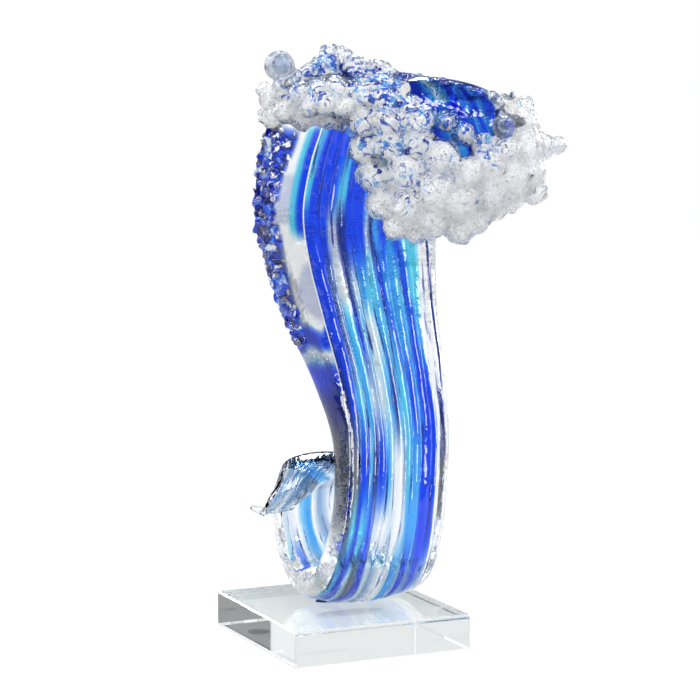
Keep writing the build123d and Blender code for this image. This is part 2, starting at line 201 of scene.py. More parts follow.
class CrestSettings(bpy.types.PropertyGroup):
    """Crushed glass of the crest."""
    voxel: length("Detail", "Smallest detail of the melted surface", 0.8 * MM)
    blob_radius: length("Blob radius", "Largest of the melted blobs", 5.0 * MM)
    blob_density: amount("Blob density", "Blobs on a square metre", 6500)
    crease: length("Crease", "Depth of the creases between crushed grains", 0.9 * MM)
    grain: length("Grain", "Size of the crushed grains", 6.0 * MM)
    core_depth: length("Core depth", "Depth of the cloudy core under the clear skin", 3.0 * MM)
    core_grain: length("Core grain", "Size of the core's broken grains", 3.2 * MM)
    fleck_size: length("Fleck size", "Length of a coloured fleck", 5.0 * MM)
    blue_density: amount("Blue flecks", "Blue flecks on a square metre", 12000)
    white_density: amount("White flecks", "White flecks on a square metre", 16000)
    seed: IntProperty(name="Seed", description="Scatter of blobs and flecks", default=7)


class EdgeSettings(bpy.types.PropertyGroup):
    """Cobalt chips and clear beads on the left edge."""
    chip_size: length("Chip size", "Length of a cobalt chip", 8.5 * MM)
    chip_density: amount("Chips", "Cobalt chips on a square metre", 60000)
    voxel: length("Voxel", "Fineness of the melted chips", 0.5 * MM)
    bead_size: length("Bead size", "Width of the largest clear bead", 5.0 * MM)
    bead_density: amount("Beads", "Clear beads on a square metre", 60000)
    seed: IntProperty(name="Seed", description="Scatter of chips and beads", default=3)


def add_node(tree, kind, inputs=None, **settings):
    """A node with its settings, and its inputs given by value or by link."""
    made = tree.nodes.new(kind)
    for name, value in settings.items():
        setattr(made, name, value)
    for name, value in (inputs or {}).items():
        if isinstance(value, bpy.types.NodeSocket):
            tree.links.new(value, made.inputs[name])
        else:
            made.inputs[name].default_value = value
    return made


def calculate(tree, operation, first, second=0.0, third=0.0):
    """Output of a math node."""
    return add_node(tree, "ShaderNodeMath", {0: first, 1: second, 2: third}, operation=operation).outputs[0]


def multiply(tree, *factors):
    """Product of several values."""
    product = factors[0]
    for factor in factors[1:]:
        product = calculate(tree, "MULTIPLY", product, factor)
    return product


def apart(tree, value, middle):
    """How far a value is from a middle one."""
    return calculate(tree, "ABSOLUTE", calculate(tree, "SUBTRACT", value, middle))


def mix_colour(tree, factor, first, second):
    """Output of a colour mix."""
    return add_node(tree, "ShaderNodeMix", {0: factor, 6: first, 7: second}, data_type="RGBA").outputs[2]


def map_range(tree, value, low, high, start=0.0, end=1.0):
    """A value taken smoothly from one range to another, held at the ends."""
    return add_node(tree, "ShaderNodeMapRange", {0: value, 1: low, 2: high, 3: start, 4: end},
                    interpolation_type="SMOOTHSTEP").outputs[0]


def up_range(tree, flow_v, low, high, start=0.0, end=1.0):
    """A value that changes up the ribbon between two stations."""
    return map_range(tree, flow_v, low / LAST_STATION, high / LAST_STATION, start, end)


def between(tree, flow_v, low, high):
    """One between two stations up the ribbon, fading out beyond them."""
    return multiply(tree, up_range(tree, flow_v, low - FADE, low + FADE),
                    up_range(tree, flow_v, high + FADE, high - FADE))


def object_place(tree):
    """Place on the object."""
    return add_node(tree, "ShaderNodeTexCoord").outputs["Object"]


def cloud(tree, place, scale, detail=2.0, distortion=0.0):
    """Soft random value from zero to one."""
    return add_node(tree, "ShaderNodeTexNoise", {"Vector": place, "Scale": scale, "Detail": detail,
                                                 "Distortion": distortion}).outputs["Fac"]


def flow_cloud(tree, flow_u, flow_v, across, along, detail=2.0):
    """Soft random value on the ribbon, with its own scale across and along."""
    place = add_node(tree, "ShaderNodeCombineXYZ",
                     {0: multiply(tree, flow_u, across), 1: multiply(tree, flow_v, along)})
    return cloud(tree, place.outputs[0], 1.0, detail)


def stored(tree, name):
    """A value stored on the mesh."""
    return add_node(tree, "ShaderNodeAttribute", attribute_name=name).outputs["Fac"]


def rgba(colour):
    """A colour with full alpha."""
    return (colour[0], colour[1], colour[2], 1.0)


# Darkest share of light that tinted glass lets through: glass colours are mixed as powers of it
DARKEST = 0.0002


def density(colour):
    """Optical density of a glass colour, one value for each channel, so that colours mix as glass does."""
    return rgba([math.log(max(channel, DARKEST)) / math.log(DARKEST) for channel in colour])


def glass_colour(tree, thick):
    """The colour that a density lets through."""
    parts = add_node(tree, "ShaderNodeSeparateColor", {0: thick})
    channels = {number: calculate(tree, "POWER", DARKEST, parts.outputs[number]) for number in range(3)}
    return add_node(tree, "ShaderNodeCombineColor", channels).outputs[0]


def new_material(name):
    """An empty node material with its shader: the tree and the shader are returned too."""
    material = bpy.data.materials.new(name)
    material.use_nodes = True
    shader = material.node_tree.nodes["Principled BSDF"]
    return material, material.node_tree, shader


def set_inputs(shader, values):
    """Give a shader's own sockets their constants."""
    for name, value in values.items():
        shader.inputs[name].default_value = value


def glass_shader(shader, ior=1.5, specular=0.5, transmission=1.0):
    """Make a shader clear glass."""
    set_inputs(shader, {"Transmission Weight": transmission, "IOR": ior, "Roughness": 0.0,
                        "Specular IOR Level": specular})


def add_bump(tree, shader, height, strength, distance):
    """An uneven surface on a shader."""
    bump = add_node(tree, "ShaderNodeBump", {"Strength": strength, "Distance": distance, "Height": height})
    tree.links.new(bump.outputs[0], shader.inputs["Normal"])


def colour_ramp(tree, where, stops, interpolation="LINEAR"):
    """Colours blended along a value, each purest at its own place."""
    ramp = add_node(tree, "ShaderNodeValToRGB", {0: where})
    band = ramp.color_ramp
    band.interpolation = interpolation
    while len(band.elements) < len(stops):
        band.elements.new(0.5)
    for element, (position, colour) in zip(band.elements, stops):
        element.position = position
        element.color = rgba(colour)
    return ramp.outputs["Color"]


def vertex_places(mesh):
    """Places of a mesh's points, one row each."""
    places = np.empty(len(mesh.vertices) * 3, np.float32)
    mesh.vertices.foreach_get("co", places)
    return places.reshape(-1, 3)


def store(mesh, name, values):
    """Store a value at each point of a mesh."""
    mesh.attributes.new(name, "FLOAT", "POINT").data.foreach_set("value", np.asarray(values, np.float32))


def add_object(name, contents):
    """A new object in the scene."""
    made = bpy.data.objects.new(name, contents)
    bpy.context.scene.collection.objects.link(made)
    return made


def catmull_rom(rows, where):
    """Rows blended smoothly at a place between them."""
    last = len(rows) - 1
    index = min(int(where), last - 1)
    share = where - index
    before = rows[max(index - 1, 0)]
    start, end = rows[index], rows[index + 1]
    after = rows[min(index + 2, last)]
    return 0.5 * (2 * start + (end - before) * share
                  + (2 * before - 5 * start + 4 * end - after) * share**2
                  + (3 * start - before - 3 * end + after) * share**3)


# Three points lie in one line when four times the area between them, in square metres, is below this
STRAIGHT = 1e-12


def three_point_arc(start, through, end, count):
    """Points along the arc from start through a middle point, without its end."""
    (ax, ay), (bx, by), (cx, cy) = start, through, end
    cross = 2 * (ax * (by - cy) + bx * (cy - ay) + cx * (ay - by))
    if abs(cross) < STRAIGHT:
        return [(ax + (cx - ax) * i / count, ay + (cy - ay) * i / count) for i in range(count)]
    a_square, b_square, c_square = ax**2 + ay**2, bx**2 + by**2, cx**2 + cy**2
    centre_x = (a_square * (by - cy) + b_square * (cy - ay) + c_square * (ay - by)) / cross
    centre_y = (a_square * (cx - bx) + b_square * (ax - cx) + c_square * (bx - ax)) / cross
    radius = math.hypot(ax - centre_x, ay - centre_y)
    first = math.atan2(ay - centre_y, ax - centre_x)
    second = math.atan2(by - centre_y, bx - centre_x)
    third = math.atan2(cy - centre_y, cx - centre_x)
    turn = (third - first) % math.tau
    if (second - first) % math.tau > turn:
        turn -= math.tau
    angles = [first + turn * i / count for i in range(count)]
    return [(centre_x + radius * math.cos(a), centre_y + radius * math.sin(a)) for a in angles]


# Points on one reed, round the right edge, across the back and round the left edge, then sections from one
# station to the next and in each rounded end, which stops a little short of a point
FRONT_STEPS = 10
RIGHT_STEPS = 16
BACK_STEPS = 44
LEFT_STEPS = 22
RINGS_BETWEEN = 14
CAP_STEPS = 5
CAP_REACH = 5.3

# Which face of the ribbon a point is on
FRONT, RIGHT, BACK, LEFT = 1.0, 0.5, 0.0, -1.0

# The lip's glass is gathered thickest here: station and reach along the ribbon, height, middle and reach
# across it
SWELL_STATION, SWELL_STATIONS = 18.3, 1.7
SWELL_HEIGHT, SWELL_MIDDLE, SWELL_REACH = 4.2 * MM, 14 * MM, 36 * MM

# The reeds rise over the three stations after the first of these, and fall beyond the second
REEDS_START, REEDS_END = 5, 16.8
# How much the reeds sway and ripple in height, and wander to the side, as shares
REED_SWAY, REED_RIPPLE, REED_WANDER = 0.9, 0.4, 0.022
# Roundness of the reeds, and of the sharper ones in the tongue
REED_POWER, TONGUE_REED_POWER = 0.8, 1.5

# The curl's tongue narrows before the first of these stations and is rounder before the second
TAPER_STATIONS = 2.6
ROUND_STATIONS = 5.5
# Share by which it narrows, deepens and turns oval, and where it narrows from, as a share of its half width
TONGUE_NARROWING, TONGUE_DEEPENING, TONGUE_OVAL, TONGUE_ROOT = 0.42, 1.1, 0.85, -0.9

# Points at the front's sides that are smoothed with the plain faces, and how often
SOFT_POINTS = 3
SOFT_ROUNDS = 10

# Stations to either side that the ribbon's direction is taken from
DIRECTION_REACH = 0.6


def lip_swell(across, station):
    """How far the lip's glass swells upwards over the curve."""
    near = max(0.0, 1 - abs(station - SWELL_STATION) / SWELL_STATIONS)
    side = max(0.0, 1 - ((across - SWELL_MIDDLE) / SWELL_REACH)**2)
    return SWELL_HEIGHT * near * near * (3 - 2 * near) * side


def reed_height(number, station):
    """Height of a reed along the ribbon, as a share of its full crown."""
    sway = noise.noise(Vector((number * 3.7, station * 0.55, 0.3)))
    ripple = noise.noise(Vector((number * 5.1, station * 3.1, 9.3)))
    rise = min(1.0, max(0.4, (station - REEDS_START) / 3))
    fall = min(1.0, max(0.3, 1 - (station - REEDS_END) * 0.6))
    return rise * fall * (1.0 + REED_SWAY * sway + REED_RIPPLE * ripple)


def reed_limits(station):
    """Limits of the reeds across the front, which wander a little along the ribbon."""
    limits = []
    for number, share in enumerate(REED_LIMIT_SHARES):
        inner = 0 < number < REED_COUNT
        wander = noise.noise(Vector((number * 2.3, station * 0.45, 4.1))) * REED_WANDER if inner else 0
        limits.append(share + wander)
    return limits


def ribbon_ring(settings, station):
    """Points, flow places and face weights of one section of the ribbon."""
    row = catmull_rom(STATION_SHARES, station)
    width = row[3] * settings.width
    half = width / 2
    deep = row[4] * settings.thickness / 2
    left = -half + row[5] * width
    right = half - row[6] * width
    crown = row[7] * settings.crown
    bulge = settings.bulge * min(1.0, deep / (4 * settings.bulge))

    def front(x):
        return -deep + crown * ((x - (left + right) / 2) / ((right - left) / 2))**2

    outline, flow, weights = [], [], []
    limits = reed_limits(station)
    power = REED_POWER if station > ROUND_STATIONS else TONGUE_REED_POWER
    for number in range(REED_COUNT):
        start = left + limits[number] * (right - left)
        end = left + limits[number + 1] * (right - left)
        height = settings.reed_crown * reed_height(number, station) * (end - start)
        for step in range(FRONT_STEPS):
            share = step / FRONT_STEPS
            x = start + share * (end - start)
            rounded = (4 * share * (1 - share))**power
            outline.append((x, front(x) - height * rounded))
            flow.append((number + share) / REED_COUNT)
            weights.append(FRONT)
    edge = front(left)
    back_left = (-half + bulge, deep * 0.8)
    left_middle = ((left - half) / 2 - bulge / 2, edge / 4)
    for corner_points, weight in (
        (three_point_arc((right, edge), (half, 0), (right, deep), RIGHT_STEPS), RIGHT),
        (three_point_arc((right, deep), (0, deep + crown / 2), back_left, BACK_STEPS), BACK),
        (three_point_arc(back_left, left_middle, (left, edge), LEFT_STEPS), LEFT),
    ):
        for x, y in corner_points:
            outline.append((x, y + (lip_swell(x, station) if weight == BACK else 0.0)))
            flow.append((x - left) / (right - left))
            weights.append(weight)
    outline = np.array(outline)
    free = np.zeros(len(outline))
    free[REED_COUNT * FRONT_STEPS - SOFT_POINTS:] = 1
    free[:SOFT_POINTS] = 1
    for _ in range(SOFT_ROUNDS):
        smooth = (np.roll(outline, 1, 0) + np.roll(outline, -1, 0)) / 2
        outline += (smooth - outline) * 0.5 * free[:, None]
    thin = max(0.0, 1 - station / TAPER_STATIONS)**1.2
    root = TONGUE_ROOT * half
    narrowed = root + (outline[:, 0] - root) * (1 - TONGUE_NARROWING * thin)
    outline[:, 0] = np.where(outline[:, 0] > root, narrowed, outline[:, 0])
    outline[:, 1] *= 1 + TONGUE_DEEPENING * max(0.0, 1 - station / ROUND_STATIONS)
    oval = min(1.0, max(0.0, (ROUND_STATIONS - station) / 2)) * TONGUE_OVAL
    if oval > 0:
        heart = (outline.max(0) + outline.min(0)) / 2
        reach = (outline.max(0) - outline.min(0)) / 2
        angle = np.arctan2((outline[:, 1] - heart[1]) / reach[1], (outline[:, 0] - heart[0]) / reach[0])
        rounded = heart + np.stack([np.cos(angle), np.sin(angle)], 1) * reach
        outline += (rounded - outline) * oval
    return outline, flow, weights


def ribbon_place(settings, station):
    """Middle point and directions of the section at a station."""
    def middle(where):
        row = catmull_rom(STATION_SHARES, min(max(where, 0.0), LAST_STATION))
        return Vector((row[0] * settings.drift, row[1] * settings.bow, GROUND + row[2] * settings.rise))

    row = catmull_rom(STATION_SHARES, station)
    turn, tilt = math.radians(row[8]), math.radians(row[9])
    across = Vector((math.cos(turn) * math.cos(tilt), -math.sin(turn) * math.cos(tilt), math.sin(tilt)))
    along = middle(station + DIRECTION_REACH) - middle(station - DIRECTION_REACH)
    along = (along - across * along.dot(across)).normalized()
    return middle(station), across, along.cross(across), along


def ribbon_mesh(settings):
    """The whole ribbon as one closed skin, with its flow map and face weights."""
    count = LAST_STATION * RINGS_BETWEEN
    bends = [step / CAP_REACH * math.pi / 2 for step in range(1, CAP_STEPS + 1)]
    rings = [(0.0, math.cos(bend), -math.sin(bend)) for bend in reversed(bends)]
    rings += [(LAST_STATION * i / count, 1.0, 0.0) for i in range(count + 1)]
    rings += [(float(LAST_STATION), math.cos(bend), math.sin(bend)) for bend in bends]
    points, flows, sides = [], [], []
    for station, scale, push in rings:
        outline, flow, weights = ribbon_ring(settings, station)
        centre, across, back, along = ribbon_place(settings, station)
        row = catmull_rom(STATION_SHARES, station)
        deep = row[4] * settings.thickness / 2
        heart = (outline[:, 0].max() + outline[:, 0].min()) / 2
        for (x, y), u, weight in zip(outline, flow, weights):
            narrowed = x - math.copysign(min(abs(x - heart), deep), x - heart) * (1 - scale)
            place = centre + across * narrowed + back * y * scale + along * push * deep
            place.z = max(place.z, GROUND)
            points.append(place)
            flows.append((u, station / LAST_STATION))
            sides.append(weight)
    around = len(points) // len(rings)
    faces = []
    for ring in range(len(rings) - 1):
        base = ring * around
        for i in range(around):
            j = (i + 1) % around
            faces.append((base + i, base + j, base + around + j, base + around + i))
    faces.append(tuple(range(around - 1, -1, -1)))
    last = (len(rings) - 1) * around
    faces.append(tuple(range(last, last + around)))
    mesh = bpy.data.meshes.new("wave_ribbon")
    mesh.from_pydata([tuple(p) for p in points], [], faces)
    flow_map = mesh.uv_layers.new(name="flow")
    for loop in mesh.loops:
        flow_map.data[loop.index].uv = flows[loop.vertex_index]
    store(mesh, "side", sides)
    rework = bmesh.new()
    rework.from_mesh(mesh)
    bmesh.ops.recalc_face_normals(rework, faces=rework.faces)
    rework.to_mesh(mesh)
    rework.free()
    mesh.shade_smooth()
    return mesh


# The colours stop this far short of the clear right edge
EDGE_SHIFT = 0.11

# A colour fades over this many stations to either side of its limits
FADE = 0.2

# Specks lie in these canes: middle and half width across the front
SPECK_CANES = ((0.13, 0.055), (0.315, 0.03))


def colour_stops(text, whole):
    """The colours that a text names, each with its place as a share of the whole."""
    return [(float(place) / whole, name) for place, name in map(str.split, text.split(", "))]


def glass_band(tree, settings, where, stops):
    """Densities of glass colours blended along a value."""
    densities = [(share, density(getattr(settings, name))) for share, name in stops]
    return colour_ramp(tree, where, densities, "EASE")


def lay(tree, settings, colour, name, *shares):
    """A glass colour laid over what is there, by the product of some shares."""
    return mix_colour(tree, multiply(tree, *shares), colour, density(getattr(settings, name)))


def stripe_colour(tree, settings, flow_u, flow_v):
    """Colours of the reeded front, blended from row to row up the ribbon."""
    result = None
    for number, (station, text) in enumerate(STRIPES):
        stops = [(share - EDGE_SHIFT * max(0.0, 2 * share - 1), name)
                 for share, name in colour_stops(text, 100)]
        here = glass_band(tree, settings, flow_u, stops)
        if number > 0:
            here = mix_colour(tree, up_range(tree, flow_v, STRIPES[number - 1][0], station), result, here)
        result = here
    return result


def front_colour(tree, settings, flow_u, flow_v, moved, streaks, haze):
    """Density of the reeded front."""
    colour = stripe_colour(tree, settings, moved, flow_v)
    # Pale streaks along the canes
    colour = lay(tree, settings, colour, "mist", map_range(tree, streaks, 0.56, 0.74), 0.35)
    # Broken dark lines in the grooves between the reeds: painted shade, navy glass laid where the grooves
    # look dark by refraction
    groove = calculate(tree, "PINGPONG", multiply(tree, moved, float(REED_COUNT)), 0.5)
    broken = flow_cloud(tree, flow_u, flow_v, 11.0, 16.0)
    colour = lay(tree, settings, colour, "navy", map_range(tree, groove, 0.10, 0.01),
                 map_range(tree, broken, 0.45, 0.6), 0.8)
    # Specks in two canes at the middle height
    speckle = add_node(tree, "ShaderNodeTexVoronoi", {"Vector": object_place(tree), "Scale": 1100.0})
    canes = [map_range(tree, apart(tree, moved, middle), reach, reach * 0.4) for middle, reach in SPECK_CANES]
    height = multiply(tree, up_range(tree, flow_v, 11.4, 12.2), up_range(tree, flow_v, 14.4, 13.6))
    colour = lay(tree, settings, colour, "steel", calculate(tree, "MAXIMUM", *canes), height,
                 map_range(tree, speckle.outputs["Distance"], 0.25, 0.55), 0.8)
    # One dark streak by the right edge
    colour = lay(tree, settings, colour, "navy", map_range(tree, apart(tree, moved, 0.955), 0.016, 0.006),
                 between(tree, flow_v, 11.8, 15.0), 0.9)
    # Painted amber glints low in the foot, laid as a glass colour
    return lay(tree, settings, colour, "amber_glint", between(tree, flow_v, 7.2, 8.3),
               map_range(tree, moved, 0.32, 0.18), map_range(tree, haze, 0.45, 0.6), 0.6)


def left_colour(tree, settings, flow_u, flow_v, shift, haze):
    """Density of the plain left edge."""
    swayed = calculate(tree, "MULTIPLY_ADD", shift, 0.3, flow_v)
    colour = glass_band(tree, settings, swayed, colour_stops(EDGE_STRIPE, LAST_STATION))
    # Lilac haze
    colour = lay(tree, settings, colour, "lilac", map_range(tree, haze, 0.5, 0.58),
                 between(tree, flow_v, 12.9, 17.2), 0.75)
    # Two canes where the edge meets the front
    upper = between(tree, flow_v, 14.6, 16.9)
    for low, high, name in ((-0.12, -0.08, "turquoise"), (-0.08, -0.04, "cobalt")):
        colour = lay(tree, settings, colour, name, map_range(tree, flow_u, low, high), upper)
    # Crust of deep blue under the chips
    frit = cloud(tree, object_place(tree), 260.0, 3.0)
    outer = calculate(tree, "ADD", flow_u, multiply(tree, haze, 0.1))
    crust = multiply(tree, map_range(tree, outer, -0.10, -0.15), between(tree, flow_v, 12.5, 16.7),
                     map_range(tree, frit, 0.40, 0.48))
    deep = lay(tree, settings, density(settings.navy), "cobalt", map_range(tree, frit, 0.5, 0.62))
    return mix_colour(tree, crust, colour, deep)


def ribbon_material(settings):
    """Clear glass with coloured canes melted along its front."""
    material, tree, shader = new_material("reeded_glass")
    flow = add_node(tree, "ShaderNodeUVMap", uv_map="flow")
    flow_u, flow_v = add_node(tree, "ShaderNodeSeparateXYZ", {0: flow.outputs[0]}).outputs[:2]
    side = stored(tree, "side")
    place = object_place(tree)
    waves = flow_cloud(tree, flow_u, flow_v, 9.0, 11.0, 3.0)
    streaks = flow_cloud(tree, flow_u, flow_v, 70.0, 9.0)
    haze = cloud(tree, place, 32.0, 1.0)
    shift = multiply(tree, calculate(tree, "SUBTRACT", waves, 0.5), 0.085)
    fine = multiply(tree, calculate(tree, "SUBTRACT", streaks, 0.5), 0.05)
    moved = calculate(tree, "ADD", calculate(tree, "ADD", flow_u, shift), fine)
    front = front_colour(tree, settings, flow_u, flow_v, moved, streaks, haze)
    left = left_colour(tree, settings, flow_u, flow_v, shift, haze)
    swayed = calculate(tree, "MULTIPLY_ADD", shift, 1.6, moved)
    lip = glass_band(tree, settings, swayed, colour_stops(LIP_STRIPE, 100))
    back = mix_colour(tree, up_range(tree, flow_v, 17.2, 17.9), density(settings.clear), lip)
    plain = mix_colour(tree, map_range(tree, side, -0.35, -0.8), back, left)
    colour = mix_colour(tree, map_range(tree, side, 0.55, 0.95), plain, front)
    tree.links.new(glass_colour(tree, colour), shader.inputs["Base Color"])
    uneven = up_range(tree, flow_v, 3.5, 7.0, 0.08, 0.32)
    add_bump(tree, shader, cloud(tree, place, 55.0, 4.0), uneven, 0.0045)
    glass_shader(shader, specular=0.8)
    return material


def clear_glass_material(name, tint, ripple_scale, ripple, transmission=1.0):
    """Clear glass with a faint uneven surface."""
    material, tree, shader = new_material(name)
    place = object_place(tree)
    colour = mix_colour(tree, cloud(tree, place, 25.0), rgba(tint), rgba([c * 0.985 for c in tint]))
    tree.links.new(colour, shader.inputs["Base Color"])
    add_bump(tree, shader, cloud(tree, place, ripple_scale), ripple, 0.002)
    glass_shader(shader, transmission=transmission)
    return material


def crest_material():
    """Clear melted skin of the crest, tinted where it is drawn into drops."""
    material, tree, shader = new_material("crushed_glass")
    place = object_place(tree)
    colour = mix_colour(tree, cloud(tree, place, 60.0, 4.0), (1.0, 1.0, 1.0, 1.0), (0.90, 0.94, 0.97, 1.0))
    colour = mix_colour(tree, stored(tree, "drop"), colour, (0.36, 0.44, 0.60, 1.0))
    tree.links.new(colour, shader.inputs["Base Color"])
    add_bump(tree, shader, cloud(tree, place, 170.0, distortion=2.2), 0.6, 0.0022)
    glass_shader(shader, ior=1.42, specular=0.8)
    return material


# Greys of the core's grains, blues of its veins, and blues of the chips topped by a painted highlight, each
# with its place on the ramp
GRAIN_GREYS = ((0.0, (0.50, 0.52, 0.55)), (0.05, (0.5, 0.5025, 0.505)), (0.16, (0.86, 0.8643, 0.8686)),
               (0.7, (0.96, 0.9648, 0.9696)), (1.0, (1.0, 1.0, 1.0)))
VEIN_BLUES = ((0.36, (0.006, 0.02, 0.28)), (0.48, (0.012, 0.09, 0.62)), (0.58, (0.08, 0.36, 0.85)),
              (0.72, (0.45, 0.72, 0.94)))
# The chips' blues vary as the glass does; the last, near white stop is a painted highlight
FRIT_BLUES_AND_HIGHLIGHTS = ((0.34, (0.004, 0.010, 0.16)), (0.42, (0.006, 0.03, 0.52)), (0.54, (0.02, 0.12, 0.85)),
              (0.62, (0.30, 0.52, 0.94)), (0.67, (0.88, 0.92, 0.97)))


def core_material():
    """Cloudy crushed glass under the skin: broken grains of many greys with blue veins."""
    material, tree, shader = new_material("cloudy_core")
    place = object_place(tree)
    grains = add_node(tree, "ShaderNodeTexVoronoi", {"Vector": place, "Scale": 900.0})
    cell = add_node(tree, "ShaderNodeSeparateColor", {0: grains.outputs["Color"]}).outputs[0]
    fine = map_range(tree, cloud(tree, place, 1500.0), 0.35, 0.7)
    shade = mix_colour(tree, fine, colour_ramp(tree, cell, GRAIN_GREYS), (0.96, 0.965, 0.975, 1.0))
    vein = apart(tree, cloud(tree, place, 105.0, distortion=1.4), 0.5)
    reach = calculate(tree, "MULTIPLY_ADD", stored(tree, "blue"), 0.11, -0.004)
    chosen = map_range(tree, calculate(tree, "SUBTRACT", reach, vein), 0.0, 0.02)
    shade = mix_colour(tree, chosen, shade, colour_ramp(tree, cloud(tree, place, 150.0, 1.0), VEIN_BLUES))
    tree.links.new(shade, shader.inputs["Base Color"])
    add_bump(tree, shader, grains.outputs["Distance"], 0.9, 0.0008)
    set_inputs(shader, {"Roughness": 0.25, "Specular IOR Level": 0.5})
    return material


def fleck_material(name, colour, second):
    """Opaque broken glass whose colour differs from fleck to fleck."""
    material, tree, shader = new_material(name)
    share = map_range(tree, cloud(tree, object_place(tree), 400.0), 0.35, 0.65)
    tree.links.new(mix_colour(tree, share, rgba(colour), rgba(second)), shader.inputs["Base Color"])
    set_inputs(shader, {"Roughness": 0.35})
    return material


def frit_material():
    """Glossy cobalt chips, from near black to light blue, with a near white painted highlight at the top of
    the ramp.
    """
    material, tree, shader = new_material("cobalt_frit")
    share = cloud(tree, object_place(tree), 170.0)
    tree.links.new(colour_ramp(tree, share, FRIT_BLUES_AND_HIGHLIGHTS), shader.inputs["Base Color"])
    add_bump(tree, shader, share, 0.15, 0.0008)
    set_inputs(shader, {"Roughness": 0.08, "Specular IOR Level": 0.5})
    return material


def dress(mesh, material):
    """Give a mesh one material."""
    mesh.materials.clear()
    mesh.materials.append(material)


def place_object(name, mesh, material):
    """A finished piece in the scene, riding on the root body."""
    piece = add_object(name, mesh)
    dress(mesh, material)
    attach(piece, "root")
    return piece


def joined_mesh(names):
    """A merged copy of some CAD nodes' meshes."""
    joined = bmesh.new()
    for name in names:
        joined.from_mesh(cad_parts[name].data)
    bmesh.ops.remove_doubles(joined, verts=joined.verts, dist=1e-6)
    return joined


def finished(rework, name):
    """The mesh of a bmesh that is done with."""
    mesh = bpy.data.meshes.new(name)
    rework.to_mesh(mesh)
    rework.free()
    return mesh


def scatter_group(name, size):
    """A geometry tree with its named inputs: the surface, a density, a size and a seed."""
    tree = bpy.data.node_groups.new(name, "GeometryNodeTree")
    for label, kind in (("Geometry", "Geometry"), ("Density", "Float"), (size, "Float"), ("Seed", "Int")):
        tree.interface.new_socket(label, in_out="INPUT", socket_type="NodeSocket" + kind)
    tree.interface.new_socket("Geometry", in_out="OUTPUT", socket_type="NodeSocketGeometry")
    return tree, tree.nodes.new("NodeGroupInput").outputs


def scatter(tree, given, density, shape, size, material, spin=None):
    """Copies of a shape at random places on the surface, turned if asked, made real, with their material."""
    points = add_node(tree, "GeometryNodeDistributePointsOnFaces",
                      {"Mesh": given["Geometry"], "Density": density, "Seed": given["Seed"]})
    turn = points.outputs["Rotation"]
    if spin is not None:
        turned = add_node(tree, "FunctionNodeRotateRotation", {0: turn, 1: spin}, rotation_space="LOCAL")
        turn = turned.outputs[0]
    copies = add_node(tree, "GeometryNodeInstanceOnPoints", {"Points": points.outputs["Points"],
                                                             "Instance": shape.outputs["Mesh"],
                                                             "Rotation": turn, "Scale": size})
    whole = add_node(tree, "GeometryNodeRealizeInstances", {0: copies.outputs[0]})
    dressed = add_node(tree, "GeometryNodeSetMaterial", {0: whole.outputs[0], "Material": material})
    tree.links.new(dressed.outputs[0], tree.nodes.new("NodeGroupOutput").inputs[0])
    return tree


def random_value(tree, kind, low, high, seed):
    """A random value for each point: its kind says which sockets hold the limits and the result."""
    first, output = (2, 1) if kind == "FLOAT" else (0, 0)
    return add_node(tree, "FunctionNodeRandomValue", {first: low, first + 1: high, "Seed": seed},
                    data_type=kind).outputs[output]


def scaled(tree, vector, factor):
    """A vector times a value."""
    return add_node(tree, "ShaderNodeVectorMath", {0: vector, "Scale": factor}, operation="SCALE").outputs[0]


def blob_tree(material):
    """Blobs of random size, sunk into a surface."""
    tree, given = scatter_group("melted_blobs", "Radius")
    share = calculate(tree, "POWER", random_value(tree, "FLOAT", 0.28, 1.0, given["Seed"]), 1.6)
    size = scaled(tree, (1.0, 1.0, 0.5), multiply(tree, share, given["Radius"]))
    ball = add_node(tree, "GeometryNodeMeshIcoSphere", {"Radius": 1.0, "Subdivisions": 2})
    return scatter(tree, given, given["Density"], ball, size, material)


def scatter_tree(name, material, smallest, largest, detail, where=None):
    """Small shapes of random size lying on a surface, turned at random and half sunk into it."""
    tree, given = scatter_group(name, "Size")
    density = given["Density"]
    if where is not None:
        share = add_node(tree, "GeometryNodeInputNamedAttribute", {"Name": where}, data_type="FLOAT")
        density = multiply(tree, density, share.outputs[0])
    shape = add_node(tree, "GeometryNodeMeshIcoSphere", {"Radius": 0.5, "Subdivisions": detail})
    spin = random_value(tree, "FLOAT_VECTOR", (-0.5, -0.5, 0.0), (0.5, 0.5, 6.28), given["Seed"])
    size = scaled(tree, random_value(tree, "FLOAT_VECTOR", smallest, largest, given["Seed"]), given["Size"])
    return scatter(tree, given, density, shape, size, material, spin)


def baked(carrier):
    """The plain mesh that a carrier's modifiers make. The carrier goes away."""
    graph = bpy.context.evaluated_depsgraph_get()
    result = bpy.data.meshes.new_from_object(carrier.evaluated_get(graph))
    for modifier in list(carrier.modifiers):
        carrier.modifiers.remove(modifier)
    bpy.data.objects.remove(carrier)
    return result


def run_tree(tree, mesh, values, name):
    """The plain mesh that a geometry tree makes from a mesh and its named sizes."""
    carrier = add_object(name + "_carrier", mesh)
    modifier = carrier.modifiers.new("Nodes", "NODES")
    modifier.node_group = tree
    identifiers = {item.name: item.identifier for item in tree.interface.items_tree
                   if item.item_type == "SOCKET" and item.in_out == "INPUT"}
    for label, value in values.items():
        modifier[identifiers[label]] = value
    result = baked(carrier)
    result.name = name
    return result


def melt(mesh, voxel, smoothing):
    """One skin round all the lumps of a mesh."""
    carrier = add_object("melting", mesh)
    remesh = carrier.modifiers.new("Remesh", "REMESH")
    remesh.mode = "VOXEL"
    remesh.voxel_size = voxel
    smooth = carrier.modifiers.new("Smooth", "SMOOTH")
    smooth.factor = 0.5
    smooth.iterations = smoothing
    return baked(carrier)


